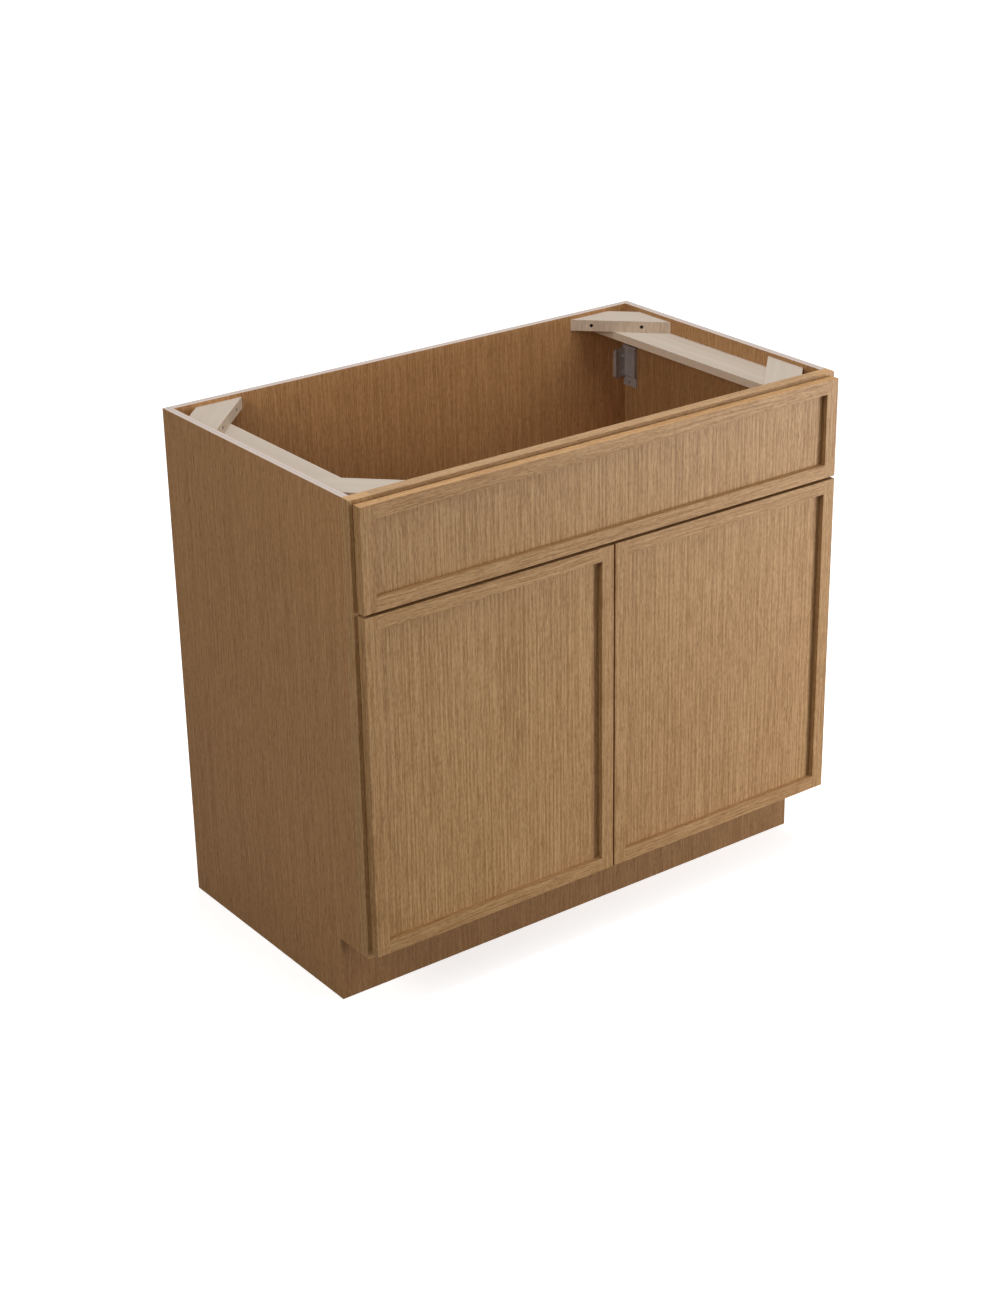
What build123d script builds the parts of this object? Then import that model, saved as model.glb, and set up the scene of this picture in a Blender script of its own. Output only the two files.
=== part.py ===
from build123d import *
import os

# Sink base cabinet: a plywood box with an open top, a solid oak face frame, one false front
# where the sink's bowl sits, and two doors below it on concealed hinges.
# Millimetres. +X is right, +Y is back, +Z is up, and the doors face -Y.
# The origin is the bottom centre of the whole cabinet, doors included.

os.makedirs("parts", exist_ok=True)

# ---- driving dimensions ------------------------------------------------------------------

# the box
CABINET_W = 914.4  # 36 in
BOX_DEPTH = 514.35  # 20 1/4 in, face frame included, doors left out
CABINET_H = 838.2  # 33 in
PLY_T = 12.7  # sides, back, floor and toe board
HOUSING_DEPTH = 6.0  # rabbets and housings cut into the sides
TOE_H = 107.95
TOE_RECESS = 76.2  # toe board behind the face frame's front

# the face frame
FRAME_T = 19.05
FRAME_MEMBER_W = 38.1
TENON_LENGTH = 10.0
TENON_T = 6.35
TENON_SHOULDER = 6.0

# the top bracing
RAIL_W = 68.0
RAIL_T = 12.7
BLOCK_LEG = 120.0
BLOCK_TRUNCATION = 39.0
BLOCK_T = 19.05
BLOCK_DROP = 6.35  # block top below the cabinet's top
POCKET_R = 3.2
POCKET_WEB = 14.0  # wood that the screw passes between the pocket's floor and the wall
POCKET_FROM_SIDE = 49.0  # along the diagonal face, from its end at the side panel
POCKET_FROM_CROSS = 35.5  # along the diagonal face, from its other end
POCKET_SCREW_HEAD_R = 2.9

# the fronts: a false front and two doors, framed alike
SIDE_REVEAL = 6.35  # face frame left showing round the fronts
TOP_REVEAL = 6.35
BOTTOM_REVEAL = 7.94
FRONTS_GAP = 4.76  # between false front and doors
DOOR_H = 549.3  # the false front takes the height that the doors leave
DOORS_GAP = 3.2  # between the two doors
FRONT_T = 16.0
STANDOFF = 1.0  # fronts stand this far off the face frame
STILE_W = 22.2  # stiles and rails of every front
PANEL_RECESS = 8.5
PANEL_LAP = 8.0  # panel's edge behind the stiles and rails
ARRIS_R = 0.5

# the concealed hinges; "in" is from the door's outer edge, "proud" from the frame's front
HINGE_FROM_END = 88.9  # hinge centre from the door's top or bottom
CUP_R = 17.5
CUP_DEPTH = 6.0
CUP_WALL = 0.8
CUP_CENTRE_IN = 22.5
FLANGE_RIM = 2.0
FLANGE_T = 1.0
FLANGE_EAR_R = 5.0
FLANGE_EAR_BACK = 12.5  # ear's centre from the cup's, towards the door's outer edge
FLANGE_EAR_UP = 22.0
PIN_R = 0.9
CUP_PIVOT_IN = 11.5
CUP_PIVOT_PROUD = 3.0
ARM_PIVOT_OVERHANG = 2.75  # arm's pin past the face frame's inner edge
ARM_PIVOT_PROUD = 3.5
LINK_T = 1.6
LINK_W = 9.0
LINK_PLAY = 0.3  # link's gap to each ear of the arm
KNUCKLE_R = 1.7
ARM_T = 1.5
ARM_PLATE_H = 40.0
ARM_PLATE_EDGE = 1.0  # plate's edges inside the frame's thickness
ARM_EAR_R = 2.0
ARM_EAR_ROOT = 7.0
ARM_SCREW_UP = 14.0

# the plastic brackets in the back corners
BRACKET_T = 5.0
BRACKET_DROP = 128.2  # its lower edge below the cabinet's top
BRACKET_BACK_W = 26.0
BRACKET_BACK_H = 50.0
BRACKET_SIDE_W = 33.4
BRACKET_SIDE_H = 57.0
BRACKET_CORNER_R = 5.0
BRACKET_RIM_W = 2.6
BRACKET_RIM_T = 1.6
BRACKET_NOTCH_W = 2.0  # the two notches in the side leg's free edge
BRACKET_NOTCH_H = 3.0
BRACKET_NOTCH_UP = (3.5, 50.5)  # their lower ends from the bracket's lower edge
BRACKET_BEVEL = 3.0
BRACKET_TAB_H = 16.0
BRACKET_TAB_T = 2.2
BRACKET_HOLE_R = 2.5
BRACKET_HOLE_IN = 14.7  # tab's hole from the back panel
BRACKET_HOLE_UP = 6.8  # tab's hole from its lower edge
BRACKET_SCREW_IN = 9.4  # screws from the side panel
BRACKET_SCREW_UP = (9.1, 38.4)  # screws from the bracket's lower edge

# fasteners and small parts
SCREW_R = 1.9
SCREW_HEAD_R = 3.7
SCREW_HEAD_T = 2.4
SCREW_BITE = 9.0  # thread's reach into the piece it holds to
SMALL_SCREW_R = 1.4
SMALL_SCREW_HEAD_R = 2.7
SMALL_SCREW_HEAD_T = 1.2
SMALL_SCREW_BITE = 10.0
ARM_SCREW_BITE = 16.0
BUMPER_R = 5.0
BUMPER_T = 0.7
BUMPER_FROM_END = 9.0  # bumper's centre from the door's top or bottom
SPACER_R = 8.0
FALSE_SCREW_CLEAR = 24.5  # false front's screws inside the corner blocks' ends
FIT = 0.05  # clearance all round a screw or a pin

# ---- places that follow ------------------------------------------------------------------

HALF_W = CABINET_W / 2
TOTAL_DEPTH = BOX_DEPTH + STANDOFF + FRONT_T

FRONT_Y = -TOTAL_DEPTH / 2  # outer face of doors and false front
FRONT_BACK_Y = FRONT_Y + FRONT_T
PANEL_Y = FRONT_Y + PANEL_RECESS
FRAME_Y = FRONT_BACK_Y + STANDOFF
FRAME_BACK_Y = FRAME_Y + FRAME_T
BACK_Y = TOTAL_DEPTH / 2
BACK_INNER_Y = BACK_Y - PLY_T
TOE_Y = FRAME_Y + TOE_RECESS

SIDE_INNER_X = HALF_W - PLY_T
FRAME_INNER_X = HALF_W - FRAME_MEMBER_W
FRONTS_X = HALF_W - SIDE_REVEAL

DOOR_BOTTOM = TOE_H + BOTTOM_REVEAL
DOOR_TOP = DOOR_BOTTOM + DOOR_H
FALSE_BOTTOM = DOOR_TOP + FRONTS_GAP
FALSE_TOP = CABINET_H - TOP_REVEAL
TOP_RAIL = (CABINET_H - FRAME_MEMBER_W, CABINET_H)
MID_RAIL_BOTTOM = DOOR_TOP + FRONTS_GAP / 2 - FRAME_MEMBER_W / 2
MID_RAIL = (MID_RAIL_BOTTOM, MID_RAIL_BOTTOM + FRAME_MEMBER_W)
BOTTOM_RAIL = (TOE_H, TOE_H + FRAME_MEMBER_W)
FLOOR = (BOTTOM_RAIL[1] - PLY_T, BOTTOM_RAIL[1])

BLOCK_Z = (CABINET_H - BLOCK_DROP - BLOCK_T, CABINET_H - BLOCK_DROP)
BLOCK_MID_Z = sum(BLOCK_Z) / 2
BRACKET_BOTTOM = CABINET_H - BRACKET_DROP
FALSE_SCREW_X = SIDE_INNER_X - BLOCK_LEG - FALSE_SCREW_CLEAR
HINGE_Z = {"lower": DOOR_BOTTOM + HINGE_FROM_END, "upper": DOOR_TOP - HINGE_FROM_END}

BEYOND = 20.0  # how far a cutting tool runs past the wood
CLOSE = 0.01  # coordinates nearer than this are the same


# ---- shapes used throughout --------------------------------------------------------------


def slab(x, y, z):
    """A box; each axis is given by its two ends."""
    size = [abs(high - low) for low, high in (x, y, z)]
    centre = [(low + high) / 2 for low, high in (x, y, z)]
    return Pos(*centre) * Box(*size)


def around(centre, half):
    return (centre - half, centre + half)


def pointing(start, end):
    """The plane at start that faces end, and how far away end is."""
    way = Vector(*end) - Vector(*start)
    return Plane(origin=start, z_dir=way), way.length


def rod(start, end, radius):
    plane, length = pointing(start, end)
    return plane * Cylinder(radius, length, align=(Align.CENTER, Align.CENTER, Align.MIN))


def prism(points, z):
    """A polygon drawn in plan and stood up from z[0] to z[1]."""
    return Pos(0, 0, z[0]) * extrude(make_face(Polyline(*points, close=True)), amount=z[1] - z[0])


def pan_screw(seat, tip, radius, head_r, head_t):
    """A screw whose flat-bottomed head stands on the surface at seat."""
    plane, _ = pointing(seat, tip)
    head = plane * Pos(0, 0, -head_t / 2) * Cylinder(head_r, head_t)
    return head + rod(seat, tip, radius)


def countersink(seat, tip, radius, head_r, head_t):
    plane, _ = pointing(seat, tip)
    return plane * Cone(head_r, radius, head_t, align=(Align.CENTER, Align.CENTER, Align.MIN))


def flush_screw(seat, tip, radius, head_r, head_t):
    """A countersunk screw whose head ends level with the surface at seat."""
    return countersink(seat, tip, radius, head_r, head_t) + rod(seat, tip, radius)


def group(shapes):
    """Separate solids kept together as one piece."""
    return Compound([solid for shape in shapes for solid in shape.solids()])


def mirrored(shape):
    """The same piece on the cabinet's other side."""
    return mirror(shape, about=Plane.YZ)


parts = {}


def both_sides(name, left_shape):
    """Adds a left-hand piece and its mirror image."""
    parts["left_" + name] = left_shape
    parts["right_" + name] = mirrored(left_shape)


# ---- corner blocks: where their screws run decides the holes in the walls ----------------

DIAGONAL_STEP = 0.5**0.5  # the diagonal face runs at 45 degrees


def corner_point(p, q, z, back):
    """p is measured from the left side panel, q from the back panel or the face frame."""
    y = BACK_INNER_Y - q if back else FRAME_BACK_Y + q
    return (-SIDE_INNER_X + p, y, z)


def block_screw_lines(back):
    """Each pocket's axis, square to the diagonal face: outside it, the head's seat, the tip."""
    from_side = POCKET_FROM_SIDE * DIAGONAL_STEP
    from_cross = POCKET_FROM_CROSS * DIAGONAL_STEP
    for p, q in ((from_side, BLOCK_LEG - from_side), (BLOCK_LEG - from_cross, from_cross)):
        to_wall = min(p, q)
        seat = to_wall - POCKET_WEB * DIAGONAL_STEP
        tip = to_wall + SCREW_BITE * DIAGONAL_STEP
        yield [corner_point(p - step, q - step, BLOCK_MID_Z, back) for step in (-BEYOND, seat, tip)]


def corner_block(back):
    outline = [
        (BLOCK_TRUNCATION, 0),
        (BLOCK_LEG, 0),
        (0, BLOCK_LEG),
        (0, BLOCK_TRUNCATION),
    ]
    block = prism([corner_point(p, q, 0, back)[:2] for p, q in outline], BLOCK_Z)
    for mouth, seat, tip in block_screw_lines(back):
        block -= rod(mouth, seat, POCKET_R) + rod(seat, tip, SCREW_R + FIT)
    return block


left_block_screws = []
left_block_pilots = []
for at_back in (False, True):
    both_sides(("back" if at_back else "front") + "_corner_block", corner_block(at_back))
    for mouth, seat, tip in block_screw_lines(at_back):
        left_block_screws.append(pan_screw(seat, tip, SCREW_R, POCKET_SCREW_HEAD_R, SCREW_HEAD_T))
        left_block_pilots.append(rod(seat, tip, SCREW_R + FIT))
parts["corner_block_screws"] = group(left_block_screws + [mirrored(s) for s in left_block_screws])

# ---- corner brackets ---------------------------------------------------------------------

bracket_corner = (-SIDE_INNER_X, BACK_INNER_Y)


def corner_bracket():
    """An angle moulding: a screwed leg on the back panel, a taller one on the side panel."""
    x, y = bracket_corner
    back_leg = slab(
        (x, x + BRACKET_BACK_W), (y - BRACKET_T, y), (BRACKET_BOTTOM, BRACKET_BOTTOM + BRACKET_BACK_H)
    )
    rim = slab(
        (x + BRACKET_BACK_W - BRACKET_RIM_W, x + BRACKET_BACK_W),
        (y - BRACKET_T - BRACKET_RIM_T, y),
        (BRACKET_BOTTOM, BRACKET_BOTTOM + BRACKET_BACK_H),
    )
    back_leg += rim
    free_corners = back_leg.edges().filter_by(Axis.Y).group_by(Axis.X)[-1]
    back_leg = fillet(free_corners, BRACKET_CORNER_R)
    side_leg = slab(
        (x, x + BRACKET_T), (y - BRACKET_SIDE_W, y), (BRACKET_BOTTOM, BRACKET_BOTTOM + BRACKET_SIDE_H)
    )
    bevelled = side_leg.edges().filter_by(Axis.Y).group_by(Axis.Z)[0].sort_by(Axis.X)[-1]
    side_leg = chamfer(bevelled, BRACKET_BEVEL)
    notches = [BRACKET_BOTTOM + up for up in BRACKET_NOTCH_UP]
    side_leg += slab(
        (x, x + BRACKET_T + BRACKET_RIM_T),
        (y - BRACKET_SIDE_W, y - BRACKET_SIDE_W + BRACKET_RIM_W),
        (notches[0] + BRACKET_NOTCH_H, notches[1]),
    )
    for low in notches:
        notch_y = (y - BRACKET_SIDE_W - BEYOND, y - BRACKET_SIDE_W + BRACKET_NOTCH_W)
        side_leg -= slab((x - BEYOND, x + BEYOND), notch_y, (low, low + BRACKET_NOTCH_H))
    tab = slab(
        (x, x + BRACKET_TAB_T),
        (y - BRACKET_SIDE_W, y),
        (BRACKET_BOTTOM - BRACKET_TAB_H, BRACKET_BOTTOM),
    )
    hole_y = y - BRACKET_HOLE_IN
    hole_z = BRACKET_BOTTOM - BRACKET_TAB_H + BRACKET_HOLE_UP
    tab -= rod((x - BEYOND, hole_y, hole_z), (x + BEYOND, hole_y, hole_z), BRACKET_HOLE_R)
    return back_leg + side_leg + tab


bracket = corner_bracket()
left_bracket_screws = []
left_bracket_pilots = []
for height in BRACKET_SCREW_UP:
    seat = (bracket_corner[0] + BRACKET_SCREW_IN, BACK_INNER_Y - BRACKET_T, BRACKET_BOTTOM + height)
    tip = (seat[0], BACK_INNER_Y + SCREW_BITE, seat[2])
    left_bracket_screws.append(flush_screw(seat, tip, SCREW_R, SCREW_HEAD_R, SCREW_HEAD_T))
    left_bracket_pilots.append(rod(seat, tip, SCREW_R + FIT))
    bracket -= left_bracket_pilots[-1]
    bracket -= countersink(seat, tip, SCREW_R + FIT, SCREW_HEAD_R + FIT, SCREW_HEAD_T)
both_sides("corner_bracket", bracket)
parts["bracket_screws"] = group(left_bracket_screws + [mirrored(s) for s in left_bracket_screws])

# ---- the box -----------------------------------------------------------------------------

side = slab((-HALF_W, -SIDE_INNER_X), (FRAME_BACK_Y, BACK_Y), (0, CABINET_H))
side -= slab((-HALF_W - BEYOND, 0), (FRAME_BACK_Y - BEYOND, TOE_Y), (-BEYOND, TOE_H))
toe_mitre = [(-HALF_W, TOE_Y), (-SIDE_INNER_X, TOE_Y + PLY_T), (-SIDE_INNER_X, TOE_Y)]
side -= prism(toe_mitre, (-BEYOND, TOE_H))
housing_x = (-SIDE_INNER_X - HOUSING_DEPTH, -SIDE_INNER_X + BEYOND)
side -= slab(housing_x, (BACK_INNER_Y, BACK_Y + BEYOND), (-BEYOND, CABINET_H + BEYOND))
side -= slab(housing_x, (FRAME_BACK_Y - BEYOND, BACK_Y), FLOOR)
for pilot in left_block_pilots:
    side -= pilot
both_sides("side_panel", side)

housed_x = SIDE_INNER_X + HOUSING_DEPTH
back = slab((-housed_x, housed_x), (BACK_INNER_Y, BACK_Y), (0, CABINET_H))
for pilot in left_block_pilots + left_bracket_pilots:
    back -= pilot + mirrored(pilot)
parts["back_panel"] = back

parts["floor_panel"] = slab((-housed_x, housed_x), (FRAME_BACK_Y, BACK_INNER_Y), FLOOR)
toe_board = slab((-SIDE_INNER_X, SIDE_INNER_X), (TOE_Y, TOE_Y + PLY_T), (0, FLOOR[0]))
toe_end = prism(toe_mitre, (0, TOE_H))
parts["toe_kick_board"] = toe_board + toe_end + mirrored(toe_end)

rail_x = (-SIDE_INNER_X, -SIDE_INNER_X + RAIL_W)
both_sides("side_rail", slab(rail_x, (FRAME_BACK_Y, BACK_INNER_Y), (BLOCK_Z[0] - RAIL_T, BLOCK_Z[0])))

# ---- the false front's screws and spacers, which pass through the face frame -------------

false_rail_middles = (FALSE_TOP - STILE_W / 2, (FALSE_BOTTOM + MID_RAIL[1]) / 2)
false_screw_lines = [
    ((x, FRAME_BACK_Y, z), (x, FRONT_BACK_Y - SMALL_SCREW_BITE, z))
    for x in (-FALSE_SCREW_X, FALSE_SCREW_X)
    for z in false_rail_middles
]
false_screw_holes = [rod(seat, tip, SCREW_R + FIT) for seat, tip in false_screw_lines]
parts["false_front_screws"] = group(
    pan_screw(seat, tip, SCREW_R, SCREW_HEAD_R, SCREW_HEAD_T) for seat, tip in false_screw_lines
)
parts["false_front_spacers"] = group(
    rod((x, FRAME_Y, z), (x, FRONT_BACK_Y, z), SPACER_R) - hole
    for ((x, _, z), _), hole in zip(false_screw_lines, false_screw_holes)
)

# ---- the face frame ----------------------------------------------------------------------

tenon_y = around((FRAME_Y + FRAME_BACK_Y) / 2, TENON_T / 2)


def rail_tenons(rail):
    """One long tongue whose ends are the rail's two tenons."""
    reach = FRAME_INNER_X + TENON_LENGTH
    return slab((-reach, reach), tenon_y, (rail[0] + TENON_SHOULDER, rail[1] - TENON_SHOULDER))


def frame_rail(rail):
    wood = slab((-FRAME_INNER_X, FRAME_INNER_X), (FRAME_Y, FRAME_BACK_Y), rail) + rail_tenons(rail)
    for hole in false_screw_holes:
        wood -= hole
    for pilot in left_block_pilots:
        wood -= pilot + mirrored(pilot)
    return wood


parts["top_frame_rail"] = frame_rail(TOP_RAIL)
parts["mid_frame_rail"] = frame_rail(MID_RAIL)
parts["bottom_frame_rail"] = frame_rail(BOTTOM_RAIL)

frame_stile = slab((-HALF_W, -FRAME_INNER_X), (FRAME_Y, FRAME_BACK_Y), (TOE_H, CABINET_H))
for rail in (TOP_RAIL, MID_RAIL, BOTTOM_RAIL):
    frame_stile -= rail_tenons(rail)

# ---- the fronts --------------------------------------------------------------------------


def eased(piece, outer_x=(), outer_z=()):
    """Rounds the front edges that lie on the front's outline."""

    def on_outline(edge):
        centre = edge.center()
        on_face = abs(centre.Y - FRONT_Y) < CLOSE
        on_x = any(abs(centre.X - x) < CLOSE for x in outer_x)
        on_z = any(abs(centre.Z - z) < CLOSE for z in outer_z)
        return on_face and (on_x or on_z)

    return fillet([edge for edge in piece.edges() if on_outline(edge)], ARRIS_R)


def front_stile(outer_x, inner_x, z):
    """A full-height stile with a rabbet along its inner back edge for panel and rails."""
    lap_x = inner_x + PANEL_LAP if inner_x < outer_x else inner_x - PANEL_LAP
    stile = slab((outer_x, inner_x), (FRONT_Y, FRONT_BACK_Y), z)
    stile = eased(stile, outer_x=(outer_x,), outer_z=z)
    return stile - slab((lap_x, inner_x), (PANEL_Y, FRONT_BACK_Y + BEYOND), (z[0] - BEYOND, z[1] + BEYOND))


def front_rail(x, outer_z, inner_z):
    """A rail between the stiles; its back half laps into their rabbets."""
    lap_z = inner_z + PANEL_LAP if inner_z < outer_z else inner_z - PANEL_LAP
    face = slab(x, (FRONT_Y, PANEL_Y), (outer_z, inner_z))
    lap = slab((x[0] - PANEL_LAP, x[1] + PANEL_LAP), (PANEL_Y, FRONT_BACK_Y), (outer_z, lap_z))
    return eased(face, outer_z=(outer_z,)) + lap


def framed_front(x, z):
    """Left stile, right stile, top rail, bottom rail and the panel in their rabbets."""
    inner_x = (x[0] + STILE_W, x[1] - STILE_W)
    inner_z = (z[0] + STILE_W, z[1] - STILE_W)
    panel_x = (inner_x[0] - PANEL_LAP, inner_x[1] + PANEL_LAP)
    panel_z = (inner_z[0] - PANEL_LAP, inner_z[1] + PANEL_LAP)
    return (
        front_stile(x[0], inner_x[0], z),
        front_stile(x[1], inner_x[1], z),
        front_rail(inner_x, z[1], inner_z[1]),
        front_rail(inner_x, z[0], inner_z[0]),
        slab(panel_x, (PANEL_Y, FRONT_BACK_Y), panel_z),
    )


false_front = framed_front((-FRONTS_X, FRONTS_X), (FALSE_BOTTOM, FALSE_TOP))
for name, piece in zip(("left_stile", "right_stile", "top_rail", "bottom_rail", "panel"), false_front):
    if name.endswith("rail"):
        for hole in false_screw_holes:
            piece -= hole
    parts["false_front_" + name] = piece

# ---- concealed hinges of the left door ---------------------------------------------------
# A cup is let into the door's back and an arm is screwed to the face frame's inner edge. One
# straight link joins them. Its arm pin stands just inside the opening and its cup pin lies
# near the door's outer edge, so that the door moves out and over as it turns.

ARM_PIVOT_IN = FRAME_MEMBER_W - SIDE_REVEAL + ARM_PIVOT_OVERHANG


def door_point(inward, proud, z):
    """inward from the left door's outer edge, proud of the face frame's front."""
    return (-FRONTS_X + inward, FRAME_Y - proud, z)


def upright(inward, proud, z, radius):
    """A rod parallel to the hinge's axes."""
    return rod(door_point(inward, proud, z[0]), door_point(inward, proud, z[1]), radius)


def ear_screw_line(z, direction):
    """Seat and tip of a cup's upper or lower screw."""
    inward = CUP_CENTRE_IN - FLANGE_EAR_BACK
    height = z + direction * FLANGE_EAR_UP
    return door_point(inward, STANDOFF, height), door_point(inward, STANDOFF + SMALL_SCREW_BITE, height)


def cup_flange(z):
    """The thin plate round the cup's mouth, drawn out to two screw ears at the stile."""
    plane = Plane(origin=door_point(CUP_CENTRE_IN, STANDOFF, z), x_dir=(1, 0, 0), z_dir=(0, -1, 0))
    circles = Circle(CUP_R + FLANGE_RIM)
    for up in (-FLANGE_EAR_UP, FLANGE_EAR_UP):
        circles += Pos(-FLANGE_EAR_BACK, up) * Circle(FLANGE_EAR_R)
    return plane * extrude(make_hull(circles.edges()), amount=FLANGE_T)


def cup_body(z, radius, floor):
    """A disc on the cup's axis, from the door's back to the given depth."""
    mouth = door_point(CUP_CENTRE_IN, STANDOFF, z)
    return rod(mouth, door_point(CUP_CENTRE_IN, STANDOFF + floor, z), radius)


def cup_pin_z(z):
    """The pin spans the cup and ends inside its wall."""
    offset = CUP_CENTRE_IN - CUP_PIVOT_IN + PIN_R
    half_chord = (CUP_R**2 - offset**2) ** 0.5
    return around(z, half_chord - FIT)


def hinge_cup(z):
    cup = cup_flange(z) + cup_body(z, CUP_R, CUP_DEPTH)
    cup -= cup_body(z, CUP_R - CUP_WALL, CUP_DEPTH - CUP_WALL)
    cup -= upright(CUP_PIVOT_IN, CUP_PIVOT_PROUD, around(z, CUP_R), PIN_R + FIT)
    for direction in (-1, 1):
        seat, tip = ear_screw_line(z, direction)
        cup -= countersink(seat, tip, SMALL_SCREW_R + FIT, SMALL_SCREW_HEAD_R + FIT, SMALL_SCREW_HEAD_T)
        cup -= rod(seat, tip, SMALL_SCREW_R + FIT)
    return cup


def cup_seat(z):
    """What the stile and the panel lose to one cup and its screws."""
    seat = cup_flange(z) + cup_body(z, CUP_R, CUP_DEPTH)
    for direction in (-1, 1):
        start, tip = ear_screw_line(z, direction)
        seat += countersink(start, tip, SMALL_SCREW_R + FIT, SMALL_SCREW_HEAD_R + FIT, SMALL_SCREW_HEAD_T)
        seat += rod(start, tip, SMALL_SCREW_R + FIT)
    return seat


def hinge_link(z):
    """A strap with a rolled knuckle at each end."""
    arm_end = Vector(*door_point(ARM_PIVOT_IN, ARM_PIVOT_PROUD, 0))
    cup_end = Vector(*door_point(CUP_PIVOT_IN, CUP_PIVOT_PROUD, 0))
    across = (cup_end - arm_end).normalized().rotate(Axis.Z, 90) * (LINK_T / 2)
    corners = [arm_end + across, cup_end + across, cup_end - across, arm_end - across]
    width = around(z, LINK_W / 2)
    link = prism([(corner.X, corner.Y) for corner in corners], width)
    pivots = ((ARM_PIVOT_IN, ARM_PIVOT_PROUD), (CUP_PIVOT_IN, CUP_PIVOT_PROUD))
    for inward, proud in pivots:
        link += upright(inward, proud, width, KNUCKLE_R)
    for inward, proud in pivots:
        link -= upright(inward, proud, width, PIN_R + FIT)
    return link


def arm_ear_faces(z):
    """Inner and outer height of the two ears that hold the arm's pin."""
    inner = LINK_W / 2 + LINK_PLAY
    return ((z + inner, z + inner + ARM_T), (z - inner - ARM_T, z - inner))


def arm_screw_line(z, direction):
    height = z + direction * ARM_SCREW_UP
    y = (FRAME_Y + FRAME_BACK_Y) / 2
    return (-FRAME_INNER_X + ARM_T, y, height), (-FRAME_INNER_X - ARM_SCREW_BITE, y, height)


def hinge_arm(z):
    """A plate on the frame's inner edge with two ears that reach forward to the pin."""
    plate_x = (-FRAME_INNER_X, -FRAME_INNER_X + ARM_T)
    plate_y = (FRAME_Y + ARM_PLATE_EDGE, FRAME_BACK_Y - ARM_PLATE_EDGE)
    arm = slab(plate_x, plate_y, around(z, ARM_PLATE_H / 2))
    pivot = door_point(ARM_PIVOT_IN, ARM_PIVOT_PROUD, 0)
    root_x = (-FRAME_INNER_X, pivot[0])
    root_y = (plate_y[0], plate_y[0] + ARM_EAR_ROOT)
    root = Pos(sum(root_x) / 2, sum(root_y) / 2) * Rectangle(root_x[1] - root_x[0], ARM_EAR_ROOT)
    tip = Pos(pivot[0], pivot[1]) * Circle(ARM_EAR_R)
    outline = make_hull(root.edges() + tip.edges())
    for low, high in arm_ear_faces(z):
        arm += Pos(0, 0, low) * extrude(outline, amount=high - low)
    arm -= upright(ARM_PIVOT_IN, ARM_PIVOT_PROUD, around(z, ARM_PLATE_H / 2), PIN_R + FIT)
    for direction in (-1, 1):
        arm -= rod(*arm_screw_line(z, direction), SCREW_R + FIT)
    return arm


def arm_pin_z(z):
    upper, lower = arm_ear_faces(z)
    return (lower[0], upper[1])


left_arm_screws = []
left_arm_pins = []
cup_seats = []
cup_screws = []
cup_pins = []
for position, z in HINGE_Z.items():
    both_sides(position + "_hinge_arm", hinge_arm(z))
    both_sides(position + "_hinge_link", hinge_link(z))
    both_sides(position + "_hinge_cup", hinge_cup(z))
    cup_seats.append(cup_seat(z))
    cup_pins.append(upright(CUP_PIVOT_IN, CUP_PIVOT_PROUD, cup_pin_z(z), PIN_R))
    left_arm_pins.append(upright(ARM_PIVOT_IN, ARM_PIVOT_PROUD, arm_pin_z(z), PIN_R))
    for direction in (-1, 1):
        seat, tip = ear_screw_line(z, direction)
        cup_screws.append(flush_screw(seat, tip, SMALL_SCREW_R, SMALL_SCREW_HEAD_R, SMALL_SCREW_HEAD_T))
        seat, tip = arm_screw_line(z, direction)
        left_arm_screws.append(pan_screw(seat, tip, SCREW_R, SCREW_HEAD_R, SMALL_SCREW_HEAD_T))
        frame_stile -= rod(seat, tip, SCREW_R + FIT)
both_sides("hinge_cup_screws", group(cup_screws))
both_sides("hinge_cup_pins", group(cup_pins))
parts["hinge_arm_pins"] = group(left_arm_pins + [mirrored(pin) for pin in left_arm_pins])
parts["hinge_arm_screws"] = group(left_arm_screws + [mirrored(screw) for screw in left_arm_screws])
both_sides("frame_stile", frame_stile)

# ---- the doors ---------------------------------------------------------------------------

door_x = (-FRONTS_X, -DOORS_GAP / 2)
hinge_stile, lock_stile, top_rail, bottom_rail, panel = framed_front(door_x, (DOOR_BOTTOM, DOOR_TOP))
for seat in cup_seats:
    hinge_stile -= seat
    panel -= seat
both_sides("door_hinge_stile", hinge_stile)
both_sides("door_lock_stile", lock_stile)
both_sides("door_top_rail", top_rail)
both_sides("door_bottom_rail", bottom_rail)
both_sides("door_panel", panel)

bumper_x = door_x[1] - STILE_W / 2
both_sides(
    "door_bumpers",
    group(
        rod((bumper_x, FRONT_BACK_Y, z), (bumper_x, FRONT_BACK_Y + BUMPER_T, z), BUMPER_R)
        for z in (DOOR_TOP - BUMPER_FROM_END, DOOR_BOTTOM + BUMPER_FROM_END)
    ),
)

for name, shape in parts.items():
    export_step(shape, f"parts/{name}.step")
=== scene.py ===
import math

import bpy
from mathutils import Matrix, Vector


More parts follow.
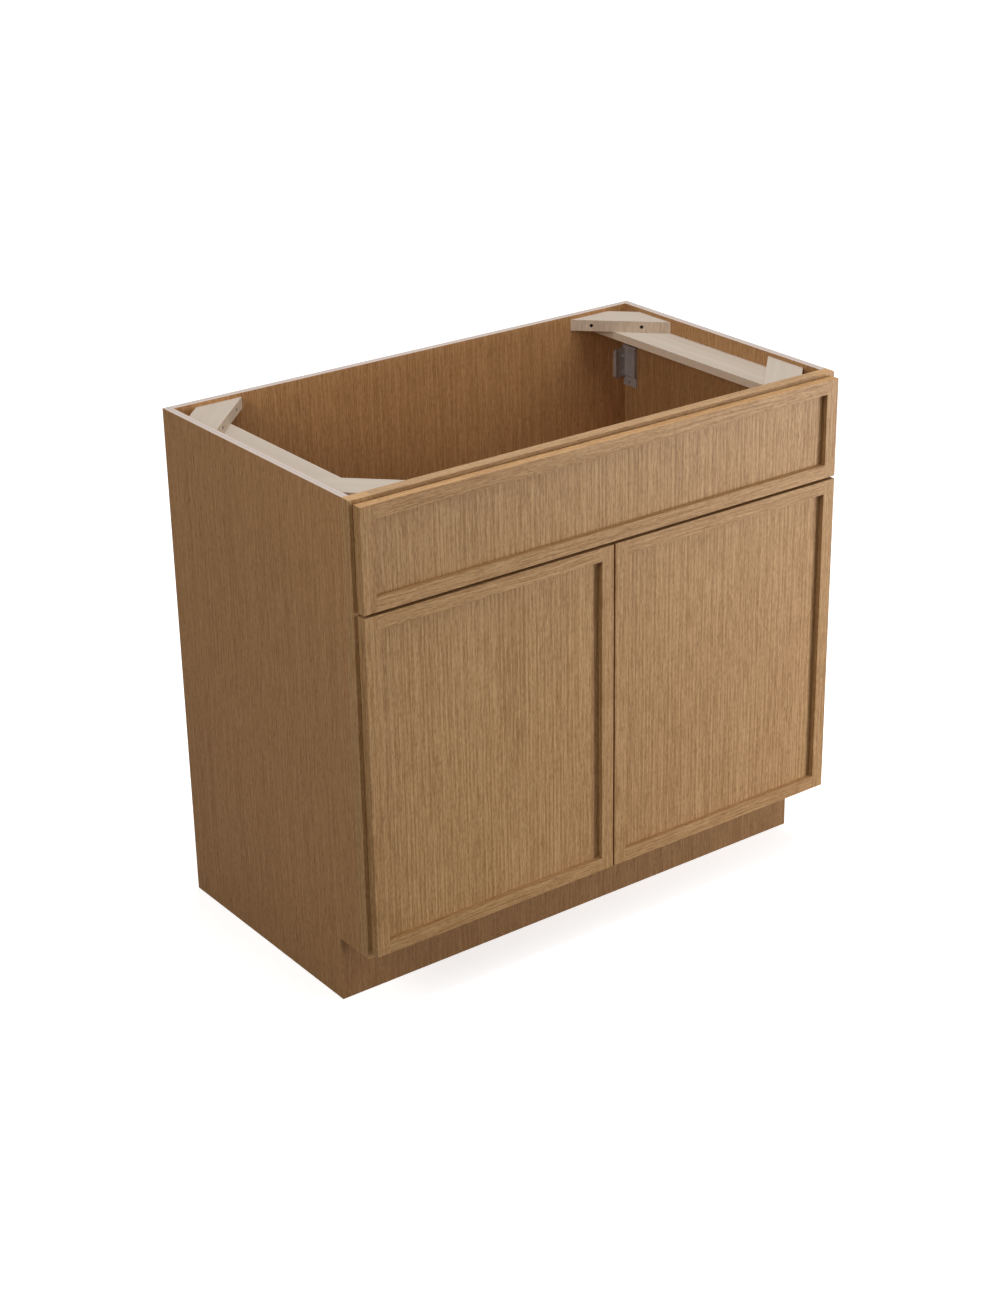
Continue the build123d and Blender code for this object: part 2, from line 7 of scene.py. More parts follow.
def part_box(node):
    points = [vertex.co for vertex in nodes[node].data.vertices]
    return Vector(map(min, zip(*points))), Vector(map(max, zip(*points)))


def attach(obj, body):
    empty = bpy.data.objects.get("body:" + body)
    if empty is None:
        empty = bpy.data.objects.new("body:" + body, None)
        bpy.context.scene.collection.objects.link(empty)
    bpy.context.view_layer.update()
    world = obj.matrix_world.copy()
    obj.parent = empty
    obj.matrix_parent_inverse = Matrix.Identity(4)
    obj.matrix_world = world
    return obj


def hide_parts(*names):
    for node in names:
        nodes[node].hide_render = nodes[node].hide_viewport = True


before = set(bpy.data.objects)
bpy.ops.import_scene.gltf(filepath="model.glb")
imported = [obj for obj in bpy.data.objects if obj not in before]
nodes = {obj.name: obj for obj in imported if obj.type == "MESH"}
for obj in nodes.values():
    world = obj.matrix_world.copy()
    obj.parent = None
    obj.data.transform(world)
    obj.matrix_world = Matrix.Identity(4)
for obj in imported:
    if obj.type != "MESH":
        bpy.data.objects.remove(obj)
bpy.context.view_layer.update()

# Sink base cabinet, 36 in wide: a veneered plywood box with an open top, a solid oak face
# frame, a false front and two doors. Metres, in the frame that the solids were packed in.

# ---- camera ------------------------------------------------------------------------------
# Above the left front corner, looking down into the open top, as in the photograph. Its
# place and lens were solved from the cabinet's straight edges.

camera = bpy.data.objects.new("camera", bpy.data.cameras.new("camera"))
bpy.context.scene.collection.objects.link(camera)
bpy.context.scene.camera = camera
camera.data.lens = 67.71
camera.data.clip_start = 0.05
EYE = (-2.15125, -2.90144, 2.02438)
# radians: to the right of straight ahead, downwards, and about the line of sight
TURN, TILT, ROLL = 0.63322, 0.42294, -0.01718
ahead = Vector((math.sin(TURN) * math.cos(TILT), math.cos(TURN) * math.cos(TILT), -math.sin(TILT)))
level = Vector((math.cos(TURN), -math.sin(TURN), 0))
upward = level.cross(ahead)
right = level * math.cos(ROLL) + upward * math.sin(ROLL)
top = upward * math.cos(ROLL) - level * math.sin(ROLL)
camera.matrix_world = Matrix.Translation(EYE) @ Matrix((right, top, -ahead)).transposed().to_4x4()

# ---- plywood box: sides, back, floor and toe board ---------------------------------------
# Half-inch plywood faced with rift-cut oak, sanded and left unfinished, glued and housed
# together. The faces show fine straight lines and a faint sheen; the cut edges show pale
# plies round a darker one.


def hexed(code):
    """An sRGB hex colour as the linear colour that a shader's socket takes."""
    parts = [int(code[i : i + 2], 16) / 255 for i in (0, 2, 4)]
    return [c / 12.92 if c <= 0.04045 else ((c + 0.055) / 1.055) ** 2.4 for c in parts] + [1]


def add(tree, kind, inputs, **settings):
    """Adds a shader node with its settings, links or fills its inputs, and gives its output.

    Inputs go by number where a node gives several one name: 6 and 7 are a mix's two colours.
    """
    made = tree.nodes.new("ShaderNode" + kind)
    for name, value in settings.items():
        setattr(made, name, value)
    for socket, value in inputs.items():
        if isinstance(value, bpy.types.NodeSocket):
            tree.links.new(value, made.inputs[socket])
        else:
            made.inputs[socket].default_value = value
    return next(out for out in made.outputs if out.enabled)


def new_material(name):
    """A material with its node tree and its shader."""
    material = bpy.data.materials.new(name)
    material.use_nodes = True
    return material, material.node_tree, material.node_tree.nodes["Principled BSDF"]


# Oak's streaks: usual width and length in mm, and share in the shade. They are growth lines
# and rows of vessels, drawn as coarse as they need to be to show from 4 m away.
STREAKS = ((3.8, 420, 0.28), (3.2, 40, 0.26), (2.6, 9, 0.20), (1.3, 90, 0.26))
RIB_SPACING = 7.4  # mm between the yearly lines of the front panels' veneer
WAVE_LENGTH = 0.314  # from one band to the next of a wave texture at scale 1
PORE_WIDTH, PORE_LENGTH = 0.6, 11  # mm


def oak(name, along, dark, light, shift, sway=2.0, ribs=0.0):
    """Oak with its grain along one axis, cut shift mm further into the pattern.

    Its lines sway that many mm to each side, and ribs is the share of evenly spaced ones.
    """
    material, tree, shader = new_material(name)
    place = add(tree, "TexCoord", {}).node.outputs["Object"]
    in_mm = add(tree, "VectorMath", {0: place, 1: (1000,) * 3, 2: (shift,) * 3}, operation="MULTIPLY_ADD")
    # the lines wander over a hand's length
    slow = [1 / 240 if axis == along else 1 / 110 for axis in range(3)]
    slowly = add(tree, "VectorMath", {0: in_mm, 1: slow}, operation="MULTIPLY")
    wander = add(tree, "TexNoise", {"Vector": slowly, "Scale": 1, "Detail": 1}).node.outputs["Color"]
    reach = [0 if axis == along else 2 * sway for axis in range(3)]
    swayed = add(tree, "VectorMath", {0: wander, 1: reach, 2: in_mm}, operation="MULTIPLY_ADD")
    split = add(tree, "SeparateXYZ", {0: swayed}).node.outputs
    # the sum of the two crossways places changes over either face of a board
    crossways = add(tree, "Math", {i: split[axis] for i, axis in enumerate({0, 1, 2} - {along})})
    grain = add(tree, "CombineXYZ", {0: crossways, 1: split[along]})
    # the evenly spaced yearly lines part and join here and there
    ribbon = add(tree, "VectorMath", {0: grain, 1: (1, 0.03, 0)}, operation="MULTIPLY")
    bands = {"Vector": ribbon, "Scale": WAVE_LENGTH / RIB_SPACING, "Distortion": 3.0}
    even = add(tree, "TexWave", {**bands, "Detail": 1, "Detail Scale": 2.2})
    shade = add(tree, "Math", {0: even, 1: ribs, 2: -0.5 * ribs}, operation="MULTIPLY_ADD")
    for across, length, share in STREAKS:
        drawn = add(tree, "VectorMath", {0: grain, 1: (1 / across, 1 / length, 0)}, operation="MULTIPLY")
        streak = add(tree, "TexNoise", {"Vector": drawn, "Scale": 1, "Detail": 1}, noise_dimensions="2D")
        shade = add(tree, "Math", {0: streak, 1: share, 2: shade}, operation="MULTIPLY_ADD")
    lines = add(tree, "MapRange", {"Value": shade, "From Min": 0.38, "From Max": 0.62})
    body = add(tree, "Mix", {0: lines, 6: hexed(dark), 7: hexed(light)}, data_type="RGBA")
    # open pores are short dark dashes
    thin = [1 / PORE_LENGTH if axis == along else 1 / PORE_WIDTH for axis in range(3)]
    dashes = add(tree, "VectorMath", {0: swayed, 1: thin}, operation="MULTIPLY")
    pores = add(tree, "TexNoise", {"Vector": dashes, "Scale": 1, "Detail": 0})
    opened = {"Value": pores, "From Min": 0.58, "From Max": 0.72, "To Max": 0.45}
    open_pores = add(tree, "MapRange", opened)
    deepened = add(tree, "Mix", {0: open_pores, 6: body, 7: hexed("5A3C22")}, data_type="RGBA")
    tree.links.new(deepened, shader.inputs["Base Color"])
    # sanded oak has a faint sheen, duller over the pores
    duller = {"Value": pores, "From Min": 0.4, "From Max": 0.7, "To Min": 0.5, "To Max": 0.62}
    tree.links.new(add(tree, "MapRange", duller), shader.inputs["Roughness"])
    relief = add(tree, "Math", {0: lines, 1: 0.5, 2: open_pores}, operation="MULTIPLY_ADD")
    sunk = add(tree, "Bump", {"Height": relief, "Strength": 0.4, "Distance": 0.00006}, invert=True)
    tree.links.new(sunk, shader.inputs["Normal"])
    shader.inputs["IOR"].default_value = 1.5
    shader.inputs["Specular IOR Level"].default_value = 0.3
    return material


# Where one ply ends and the next begins, in mm from the middle of the half inch: the cross
# ply in the middle is 2 mm thick, and each face veneer 0.6 mm.
CROSS_PLY_END = {"From Min": 0.9, "From Max": 1.2}
FACE_VENEER_START = {"From Min": 5.7, "From Max": 5.8}


def veneered(name, along, node, dark, light, shift):
    """Veneered plywood: oak on the two faces of the node's thin direction, plies on its edges."""
    low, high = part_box(node)
    size = [high[axis] - low[axis] for axis in range(3)]
    thin = size.index(min(size))
    material = oak(name, along, dark, light, shift)
    tree = material.node_tree
    shader = tree.nodes["Principled BSDF"]
    face = shader.inputs["Base Color"].links[0].from_socket
    space = add(tree, "TexCoord", {}).node.outputs
    facing = add(tree, "SeparateXYZ", {0: space["Normal"]}).node.outputs[thin]
    flat = add(tree, "Math", {0: facing}, operation="ABSOLUTE")
    cut = add(tree, "Math", {0: flat, 1: 0.5}, operation="LESS_THAN")
    # both side panels share the pattern, so its depth is measured from either one's middle
    place = add(tree, "SeparateXYZ", {0: space["Object"]}).node.outputs[thin]
    outwards = add(tree, "Math", {0: place}, operation="ABSOLUTE")
    middle = abs(low[thin] + high[thin]) / 2
    off = add(tree, "Math", {0: outwards, 1: middle}, operation="SUBTRACT")
    off_in_mm = add(tree, "Math", {0: off, 1: 1000}, operation="MULTIPLY")
    depth = add(tree, "Math", {0: off_in_mm}, operation="ABSOLUTE")
    in_mm = add(tree, "VectorMath", {0: space["Object"], "Scale": 1000}, operation="SCALE")
    fibre = add(tree, "TexNoise", {"Vector": in_mm, "Scale": 0.35, "Detail": 3})
    mottle = add(tree, "MapRange", {"Value": fibre, "From Min": 0.35, "From Max": 0.65})
    pale = add(tree, "Mix", {0: mottle, 6: hexed("A89C96"), 7: hexed("B0A49D")}, data_type="RGBA")
    cross = add(tree, "Mix", {0: mottle, 6: hexed("988A80"), 7: hexed("A5978D")}, data_type="RGBA")
    core = add(tree, "MapRange", {"Value": depth, **CROSS_PLY_END})
    plies = add(tree, "Mix", {0: core, 6: cross, 7: pale}, data_type="RGBA")
    skin = add(tree, "MapRange", {"Value": depth, **FACE_VENEER_START})
    edge = add(tree, "Mix", {0: skin, 6: plies, 7: hexed(dark)}, data_type="RGBA")
    whole = add(tree, "Mix", {0: cut, 6: face, 7: edge}, data_type="RGBA")
    tree.links.new(whole, shader.inputs["Base Color"])
    return material


def dress(material, *names):
    """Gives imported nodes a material."""
    for name in names:
        nodes[name].material_slots[0].material = material


side_ply = veneered("oak_veneered_side_ply", 2, "left_side_panel", "976C41", "B3875A", 0)
dress(side_ply, "left_side_panel", "right_side_panel")
dress(veneered("oak_veneered_back_ply", 2, "back_panel", "AA7B4B", "C79666", 310), "back_panel")
dress(veneered("oak_veneered_floor_ply", 0, "floor_panel", "A47646", "BF905F", 520), "floor_panel")
# the toe board's ply is given a darker tone: painted shade for its recess under the box
dress(veneered("oak_veneered_toe_ply", 2, "toe_kick_board", "7D5834", "956F48", 730), "toe_kick_board")

# ---- top bracing -------------------------------------------------------------------------
# Two flat rails and four corner blocks of pale softwood hold the box square and take the
# worktop's screws. Their planed faces are nearly white and even. The rails' long edges and
# the blocks' diagonal faces are left from the saw, scored and browner. Their colour is also
# lightened as painted light, since the lamps reach these upright faces little.

QUARTER_TURN = math.pi / 2
# growth rings and the fibre between them: width and length in mm, and share in the shade
RINGS = ((9.0, 700, 0.45), (2.4, 120, 0.35), (0.9, 30, 0.2))
# the saw's upright scores: mm along the face, through it and up it
SAW_SCORES = (3.2, 40, 26)


def whitewood(name, turn, sawn_dark_with_painted_light, sawn_light_with_painted_light):
    """Planed softwood, its grain turned from +X in plan; the edge colours are its sawn faces', lightened
    with painted light.
    """
    material, tree, shader = new_material(name)
    space = add(tree, "TexCoord", {}).node.outputs
    lined = add(tree, "VectorRotate", {"Vector": space["Object"], "Angle": -turn}, rotation_type="Z_AXIS")
    in_mm = add(tree, "VectorMath", {0: lined, "Scale": 1000}, operation="SCALE")
    shade = 0.0
    for across, length, share in RINGS:
        period = (1 / length, 1 / across, 1 / across)
        drawn = add(tree, "VectorMath", {0: in_mm, 1: period}, operation="MULTIPLY")
        streak = add(tree, "TexNoise", {"Vector": drawn, "Scale": 1, "Detail": 2})
        shade = add(tree, "Math", {0: streak, 1: share, 2: shade}, operation="MULTIPLY_ADD")
    rings = add(tree, "MapRange", {"Value": shade, "From Min": 0.38, "From Max": 0.62})
    planed = add(tree, "Mix", {0: rings, 6: hexed("9F9284"), 7: hexed("A79A8C")}, data_type="RGBA")
    scoring = [1 / reach for reach in SAW_SCORES]
    across_face = add(tree, "VectorMath", {0: in_mm, 1: scoring}, operation="MULTIPLY")
    scores = add(tree, "TexNoise", {"Vector": across_face, "Scale": 1, "Detail": 3, "Roughness": 0.6})
    scored = add(tree, "MapRange", {"Value": scores, "From Min": 0.32, "From Max": 0.68})
    # the sawn faces' own browner tone, lightened with painted light where the lamps reach them little
    sawn_tone_and_painted_light = add(tree, "Mix", {0: scored, 6: hexed(sawn_dark_with_painted_light), 7: hexed(sawn_light_with_painted_light)}, data_type="RGBA")
    turned = add(tree, "VectorRotate", {"Vector": space["Normal"], "Angle": -turn}, rotation_type="Z_AXIS")
    facing = add(tree, "SeparateXYZ", {0: turned}).node.outputs[1]
    flat = add(tree, "Math", {0: facing}, operation="ABSOLUTE")
    sawn = add(tree, "MapRange", {"Value": flat, "From Min": 0.9, "From Max": 0.95})
    face = add(tree, "Mix", {0: sawn, 6: planed, 7: sawn_tone_and_painted_light}, data_type="RGBA")
    tree.links.new(face, shader.inputs["Base Color"])
    relief = add(tree, "Mix", {0: sawn, 2: rings, 3: scored}, data_type="FLOAT")
    fuzz = add(tree, "Bump", {"Height": relief, "Strength": 0.5, "Distance": 0.00012})
    tree.links.new(fuzz, shader.inputs["Normal"])
    shader.inputs["Roughness"].default_value = 0.75
    shader.inputs["IOR"].default_value = 1.5
    return material


# each call's last two colours are the sawn faces', lightened with painted light
rail_wood = whitewood("planed_softwood_rail", QUARTER_TURN, "C3AC94", "CAB49C")
dress(rail_wood, "left_side_rail", "right_side_rail")
falling = whitewood("sawn_softwood_block_falling", -QUARTER_TURN / 2, "B9A28A", "D0BAA3")
dress(falling, "left_front_corner_block", "right_back_corner_block")
rising = whitewood("sawn_softwood_block_rising", QUARTER_TURN / 2, "B7A38F", "CDB99F")
dress(rising, "right_front_corner_block", "left_back_corner_block")

# ---- screws ------------------------------------------------------------------------------
# Zinc-plated steel wood screws with a cross-shaped recess: round heads in the blocks' pockets,
# behind the false front and on the hinge arms, flush heads in brackets and hinge cups. Each
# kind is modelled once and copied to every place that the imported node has.

SMOOTH_BELOW = math.radians(35)
STOPS_AT = 0.8  # radians from one screw's recess to the next one's


def plated_steel(name, code, rough, grain):
    """Plated steel, clouded over a few mm; grain is how strongly its drawing lines show."""
    material, tree, shader = new_material(name)
    place = add(tree, "TexCoord", {}).node.outputs["Object"]
    in_mm = add(tree, "VectorMath", {0: place, "Scale": 1000}, operation="SCALE")
    cloud = add(tree, "TexNoise", {"Vector": in_mm, "Scale": 0.4, "Detail": 3})
    clouded = {"Value": cloud, "From Min": 0.3, "From Max": 0.7, "To Min": 0.0, "To Max": 0.35}
    tone = add(tree, "MapRange", clouded)
    colour = add(tree, "Mix", {0: tone, 6: hexed(code), 7: hexed("8C8D8F")}, data_type="RGBA")
    tree.links.new(colour, shader.inputs["Base Color"])
    drawn = add(tree, "VectorMath", {0: in_mm, 1: (0.4, 0.4, 9.0)}, operation="MULTIPLY")
    lines = add(tree, "TexNoise", {"Vector": drawn, "Scale": 1, "Detail": 2})
    haze = add(tree, "Math", {0: lines, 1: grain, 2: rough}, operation="MULTIPLY_ADD")
    tree.links.new(haze, shader.inputs["Roughness"])
    worn = add(tree, "Bump", {"Height": lines, "Strength": 0.2, "Distance": 0.00002})
    tree.links.new(worn, shader.inputs["Normal"])
    shader.inputs["Metallic"].default_value = 1.0
    return material


def loose_parts(node):
    """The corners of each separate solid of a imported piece."""
    ghost = nodes[node].copy()
    ghost.data = ghost.data.copy()
    bpy.context.scene.collection.objects.link(ghost)
    bpy.ops.object.select_all(action="DESELECT")
    ghost.select_set(True)
    bpy.context.view_layer.objects.active = ghost
    bpy.ops.object.mode_set(mode="EDIT")
    bpy.ops.mesh.select_all(action="SELECT")
    bpy.ops.mesh.remove_doubles(threshold=0.00001)
    bpy.ops.mesh.separate(type="LOOSE")
    bpy.ops.object.mode_set(mode="OBJECT")
    loose = list(bpy.context.selected_objects)
    corners = [[part.matrix_world @ corner.co for corner in part.data.vertices] for part in loose]
    for part in loose:
        bpy.data.objects.remove(part)
    return corners


def pick(piece, wanted):
    """Opens edit mode with the wanted faces of a piece picked."""
    bpy.ops.object.mode_set(mode="EDIT")
    bpy.ops.mesh.select_mode(type="FACE")
    bpy.ops.mesh.select_all(action="DESELECT")
    bpy.ops.object.mode_set(mode="OBJECT")
    for face in piece.data.polygons:
        face.select = wanted(face)
    bpy.ops.object.mode_set(mode="EDIT")


def looks_up(face):
    return face.normal.z > 0.9


def looks_down(face):
    return face.normal.z < -0.9


def turned_blank(radius, height):
    """A round blank with its top at the origin and its upper edge rolled over."""
    bpy.ops.object.select_all(action="DESELECT")
    bpy.ops.mesh.primitive_cylinder_add(
        vertices=32, radius=radius, depth=height, location=(0, 0, -height / 2)
    )
    bpy.ops.object.transform_apply()
    blank = bpy.context.object
    pick(blank, looks_up)
    bpy.ops.mesh.bevel(offset=0.6 * height, segments=5, affect="EDGES")
    bpy.ops.object.mode_set(mode="OBJECT")
    return blank


def cross_point_screw(head, rise, shank, length, flush):
    """A wood screw, head up with its top at the origin and its point down.

    Head and shank are radii. A flush head is a thin rim on a cone that narrows to the shank.
    """
    rim = 0.3 * rise if flush else rise
    screw = turned_blank(head, rim)
    pick(screw, looks_down)
    if flush:
        bpy.ops.mesh.extrude_region_move(TRANSFORM_OT_translate={"value": (0, 0, rim - rise)})
        bpy.ops.transform.resize(value=(shank / head, shank / head, 1), center_override=(0, 0, 0))
    else:
        bpy.ops.mesh.inset(thickness=head - shank)
    point = 3 * shank
    bpy.ops.mesh.extrude_region_move(TRANSFORM_OT_translate={"value": (0, 0, rise + point - length)})
    bpy.ops.mesh.extrude_region_move(TRANSFORM_OT_translate={"value": (0, 0, -point)})
    bpy.ops.transform.resize(value=(0.12, 0.12, 1), center_override=(0, 0, 0))
    bpy.ops.object.mode_set(mode="OBJECT")
    # the recess: two slots crossed at a right angle, half as wide and long at their floor
    deep = 0.65 * rise
    for turn in (0, QUARTER_TURN):
        bpy.ops.object.select_all(action="DESELECT")
        bpy.ops.mesh.primitive_cube_add(size=1, location=(0, 0, -0.4 * deep), rotation=(0, 0, turn))
        punch = bpy.context.object
        punch.scale = (1.2 * head, 0.3 * head, 1.2 * deep)
        bpy.ops.object.transform_apply()
        pick(punch, looks_down)
        bpy.ops.transform.resize(value=(0.5, 0.5, 1), center_override=(0, 0, 0))
        bpy.ops.object.mode_set(mode="OBJECT")
        bpy.context.view_layer.objects.active = screw
        cut = screw.modifiers.new("recess", "BOOLEAN")
        cut.operation, cut.solver, cut.object = "DIFFERENCE", "EXACT", punch
        bpy.ops.object.modifier_apply(modifier=cut.name)
        bpy.data.objects.remove(punch)
    bpy.ops.object.select_all(action="DESELECT")
    screw.select_set(True)
    bpy.ops.object.shade_smooth_by_angle(angle=SMOOTH_BELOW)
    return screw


def set_in_place(model, node, body, way):
    """Copies a model, drawn along -Z, to each solid of a node.

    The solids point away from the cabinet's middle, along X, Y or both, as way says.
    """
    for count, corners in enumerate(loose_parts(node)):
        middle = sum(corners, Vector()) / len(corners)
        outwards = [math.copysign(share, at) for share, at in zip(way, middle)]
        drive = Vector((*outwards, 0)).normalized()
        across = drive.cross(Vector((0, 0, 1)))
        start = min(corner.dot(drive) for corner in corners)
        reach = [corner.dot(across) for corner in corners]
        heights = [corner.z for corner in corners]
        place = drive * start + across * (min(reach) + max(reach)) / 2
        place.z = (min(heights) + max(heights)) / 2
        stood = Matrix((across, (0, 0, 1), -drive)).transposed().to_4x4()
        turned = Matrix.Rotation(STOPS_AT * count, 4, "Z")
        copy = bpy.data.objects.new(f"{node[:-1]}_{count + 1}", model.data.copy())
        bpy.context.scene.collection.objects.link(copy)
        copy.data.transform(Matrix.Translation(place) @ stood @ turned)
        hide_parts(node)
        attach(copy, body)
    bpy.data.objects.remove(model)


# zinc plating shines coolly and a little unevenly
zinc = plated_steel("zinc_plated_steel", "C9CBCD", 0.34, 0.2)
# node, what it rides on, its way, head's radius and height, shank's radius and whole length in
# mm, and whether the head is flush
for node, body, way, head, rise, shank, length, flush in (
    ("corner_block_screws", "cabinet", (1, 1), 2.9, 2.4, 1.9, 25.4, False),
    ("bracket_screws", "cabinet", (0, 1), 3.7, 2.4, 1.9, 14.0, True),
    ("false_front_screws", "cabinet", (0, 1), 3.7, 2.4, 1.9, 32.45, False),
    ("hinge_arm_screws", "cabinet", (1, 0), 3.7, 1.2, 1.9, 18.7, False),
    ("left_hinge_cup_screws", "left_door", (0, 1), 2.7, 1.2, 1.4, 10.0, True),
    ("right_hinge_cup_screws", "right_door", (0, 1), 2.7, 1.2, 1.4, 10.0, True),
):
    model = cross_point_screw(head / 1000, rise / 1000, shank / 1000, length / 1000, flush)
    model.data.materials.append(zinc)
    set_in_place(model, node, body, way)

# ---- corner brackets ---------------------------------------------------------------------
# Two grey-white nylon angle mouldings in the back corners, screwed to the back panel, with a
# tab below for one more screw into the side. Moulded, so faintly grained and satin.

nylon, tree, shader = new_material("moulded_grey_white_nylon")
place = add(tree, "TexCoord", {}).node.outputs["Object"]
in_mm = add(tree, "VectorMath", {0: place, "Scale": 1000}, operation="SCALE")
flow = add(tree, "TexNoise", {"Vector": in_mm, "Scale": 0.08, "Detail": 2})
flowed = add(tree, "MapRange", {"Value": flow, "From Min": 0.3, "From Max": 0.7})
tint = add(tree, "Mix", {0: flowed, 6: hexed("958B88"), 7: hexed("A29894")}, data_type="RGBA")
tree.links.new(tint, shader.inputs["Base Color"])
spark = add(tree, "TexNoise", {"Vector": in_mm, "Scale": 3.5, "Detail": 1})
eroded = add(tree, "Bump", {"Height": spark, "Strength": 0.25, "Distance": 0.00003})
tree.links.new(eroded, shader.inputs["Normal"])
satin = add(tree, "MapRange", {"Value": spark, "To Min": 0.4, "To Max": 0.55})
tree.links.new(satin, shader.inputs["Roughness"])
shader.inputs["IOR"].default_value = 1.53
dress(nylon, "left_corner_bracket", "right_corner_bracket")

# ---- face frame --------------------------------------------------------------------------
# Solid oak stiles and rails, 3/4 in thick, joined with tenons and glued to the box's front.
# The rails' grain runs across and the stiles' runs up, each board with its own figure.

FRAME_DARK, FRAME_LIGHT = "946D40", "B58F62"
for count, name in enumerate(("left_frame_stile", "right_frame_stile")):
    dress(oak("solid_oak_" + name, 2, FRAME_DARK, FRAME_LIGHT, 150 + 70 * count), name)
# the top rail is given a darker tone: painted shade that dims its top edge, which the lamps light strongly
dress(oak("solid_oak_top_frame_rail", 0, "86633A", "A48158", 400, 4.0), "top_frame_rail")
for count, name in enumerate(("mid_frame_rail", "bottom_frame_rail")):
    dress(oak("solid_oak_" + name, 0, FRAME_DARK, FRAME_LIGHT, 470 + 70 * count, 4.0), name)

# ---- false front and doors ---------------------------------------------------------------
# Each has narrow solid oak stiles and rails round a flat veneered panel, which lies back in
# their rabbet. The stiles' lines are straight, the rails' waver, and the panels' are fine
# and evenly spaced.

FRONT_DARK, FRONT_LIGHT = "90693D", "B48E62"
for count, name in enumerate(("false_front", "left_door", "right_door")):
    stiles = ("left_stile", "right_stile") if name == "false_front" else ("hinge_stile", "lock_stile")
    # each piece is cut from its own stretch of the pattern
    shift = 900 + 300 * count
    stile = oak("solid_oak_stile_of_" + name, 2, FRONT_DARK, FRONT_LIGHT, shift)
    rail = oak("solid_oak_rail_of_" + name, 0, FRONT_DARK, FRONT_LIGHT, shift + 90, 5.0)
    panel = oak("oak_veneer_panel_of_" + name, 2, FRONT_DARK, FRONT_LIGHT, shift + 180, 1.0, 0.075)
    dress(stile, *[name + "_" + end for end in stiles])
    dress(rail, name + "_top_rail", name + "_bottom_rail")
    dress(panel, name + "_panel")

# ---- hinges ------------------------------------------------------------------------------
# Four concealed hinges of nickel-plated pressed steel: a cup let into the door's back, a link
# and an arm that wraps the frame's edge, held together by riveted pins. Nickel is warmer and
# shinier than the screws' zinc.

nickel = plated_steel("nickel_plated_pressed_steel", "C4BFB6", 0.22, 0.16)
for side in ("left", "right"):
    for height in ("upper", "lower"):
        dress(nickel, *[f"{side}_{height}_hinge_{part}" for part in ("arm", "link", "cup")])
    dress(nickel, side + "_hinge_cup_pins")
dress(nickel, "hinge_arm_pins")

# ---- door bumpers and spacers ------------------------------------------------------------
# Clear self-adhesive polyurethane pads behind the doors' free corners, which meet the frame
# without a knock, and thin pads that hold the false front level with the doors. They are
# cast, so they look glossy and a little milky.

BUMPER_RADIUS = 0.005

clear, tree, shader = new_material("clear_cast_polyurethane")
place = add(tree, "TexCoord", {}).node.outputs["Object"]
in_mm = add(tree, "VectorMath", {0: place, "Scale": 1000}, operation="SCALE")
haze = add(tree, "TexNoise", {"Vector": in_mm, "Scale": 0.5, "Detail": 2})
glossy = add(tree, "MapRange", {"Value": haze, "To Min": 0.1, "To Max": 0.3})
tree.links.new(glossy, shader.inputs["Roughness"])
tint = add(tree, "Mix", {0: haze, 6: hexed("DCD8CC"), 7: hexed("EFEDE6")}, data_type="RGBA")
tree.links.new(tint, shader.inputs["Base Color"])
shader.inputs["Transmission Weight"].default_value = 0.6
shader.inputs["IOR"].default_value = 1.49
dress(clear, "false_front_spacers")
for side in ("left", "right"):
    low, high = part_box(side + "_door_bumpers")
    pad = turned_blank(BUMPER_RADIUS, high[1] - low[1])
    bpy.ops.object.shade_smooth_by_angle(angle=SMOOTH_BELOW)
    pad.data.materials.append(clear)
    # a pad's free face looks back towards the frame
    set_in_place(pad, side + "_door_bumpers", side + "_door", (0, 1))

# ---- light, floor and background ---------------------------------------------------------
# A plain studio: even light from all round, a strong low softbox and a faint higher one at
# the right of the front, one at the left and one overhead, and a sheet of matt white paper
# that runs out of sight. It keeps the cabinet's shadow.

AMBIENT = 0.2

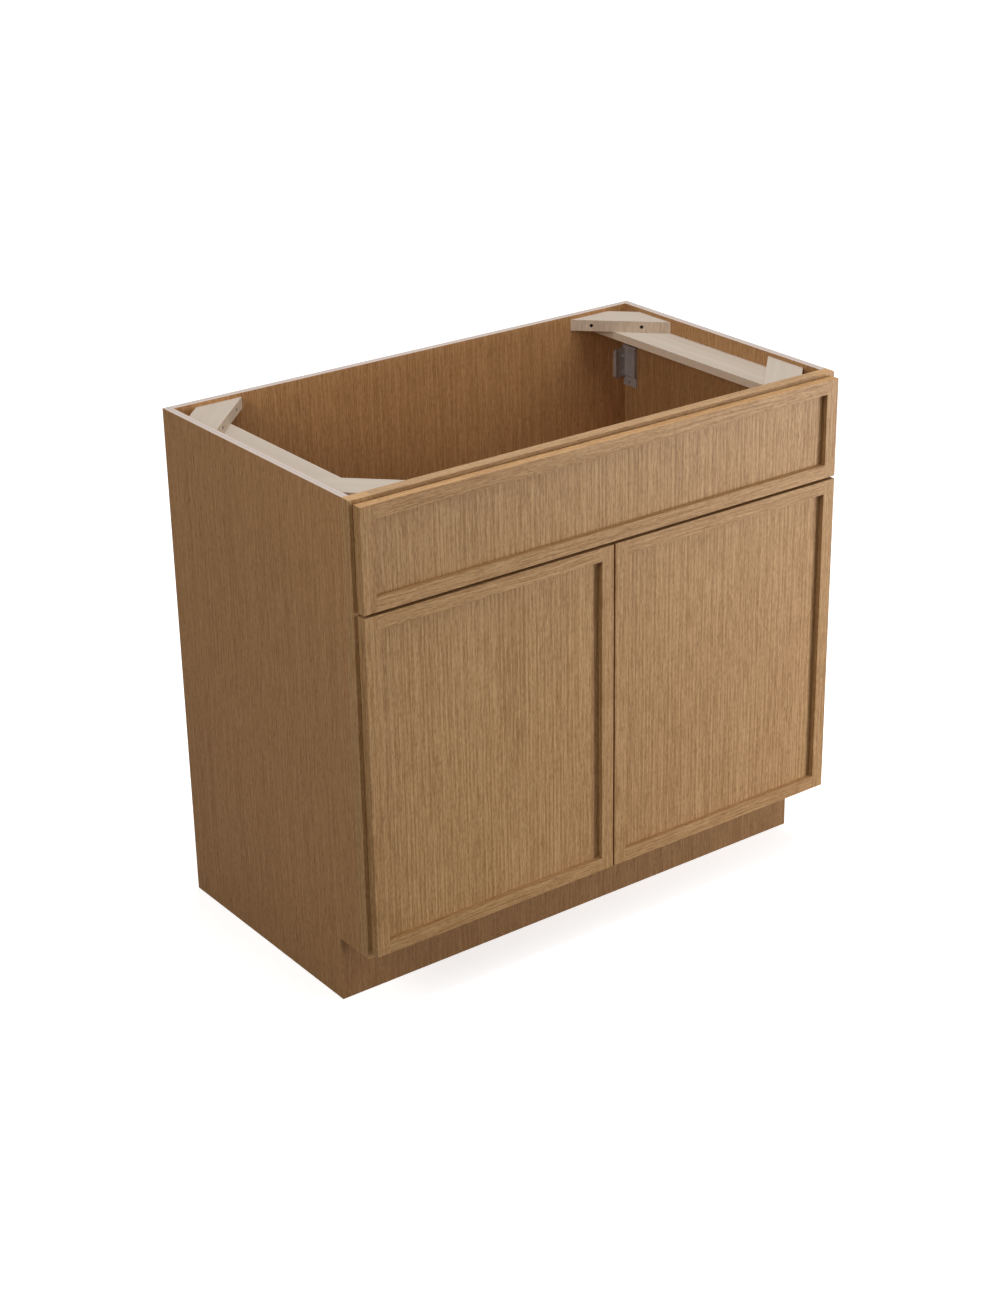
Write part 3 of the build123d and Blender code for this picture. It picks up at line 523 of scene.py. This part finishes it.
world = bpy.data.worlds.new("studio")
bpy.context.scene.world = world
world.use_nodes = True
tree = world.node_tree
rays = add(tree, "LightPath", {}).node.outputs
seen = add(tree, "Math", {0: rays["Is Camera Ray"], 1: rays["Is Glossy Ray"]}, operation="MAXIMUM")
seen = add(tree, "Math", {0: seen, 1: rays["Is Transmission Ray"]}, operation="MAXIMUM")
strength = add(tree, "MapRange", {"Value": seen, "To Min": AMBIENT, "To Max": 1.0})
tree.nodes["Background"].inputs["Color"].default_value = (1, 1, 1, 1)
tree.links.new(strength, tree.nodes["Background"].inputs["Strength"])


def softbox(name, place, aim, size, watts):
    """A square lamp, size metres wide, turned to its aim."""
    lamp = bpy.data.lights.new(name, "AREA")
    lamp.shape = "SQUARE"
    lamp.size = size
    lamp.energy = watts
    lamp_object = bpy.data.objects.new(name, lamp)
    bpy.context.scene.collection.objects.link(lamp_object)
    lamp_object.location = place
    lamp_object.rotation_euler = (Vector(aim) - Vector(place)).to_track_quat("-Z", "Y").to_euler()


softbox("key_softbox", (1.6, -2.4, 1.75), (0.1, -0.1, 0.5), 1.2, 13)
softbox("low_softbox", (2.3, -2.1, 0.5), (0.2, -0.2, 0.6), 0.9, 72)
softbox("left_softbox", (-2.4, -0.7, 1.8), (-0.45, 0.0, 0.6), 1.2, 23)
softbox("top_softbox", (0.2, 0.1, 2.9), (0, 0, 0.4), 1.6, 56)

bpy.ops.object.select_all(action="DESELECT")
bpy.ops.mesh.primitive_circle_add(vertices=64, radius=14, fill_type="NGON")
floor = bpy.context.object
floor.name = "studio_floor"
paper, tree, shader = new_material("matt_white_paper")
floor.data.materials.append(paper)
rays = add(tree, "LightPath", {}).node.outputs
seen = add(tree, "Math", {0: rays["Is Camera Ray"], 1: rays["Is Transmission Ray"]}, operation="MAXIMUM")
tone = add(tree, "Mix", {0: seen, 6: hexed("8C8A88"), 7: hexed("F2F2F2")}, data_type="RGBA")
tree.links.new(tone, shader.inputs["Base Color"])
# the paper fades to pure white between 1 and 4 m from the cabinet
place = add(tree, "TexCoord", {}).node.outputs["Object"]
away = add(tree, "VectorMath", {0: place}, operation="LENGTH")
fading = {"Value": away, "From Min": 1.0, "From Max": 4.0, "To Min": 0.6, "To Max": 1.0}
paleness = add(tree, "MapRange", fading)
lift = add(tree, "Math", {0: seen, 1: paleness}, operation="MULTIPLY")
tree.links.new(lift, shader.inputs["Emission Strength"])
shader.inputs["Emission Color"].default_value = (1, 1, 1, 1)
shader.inputs["Roughness"].default_value = 0.9

bpy.context.scene.view_settings.view_transform = "Standard"
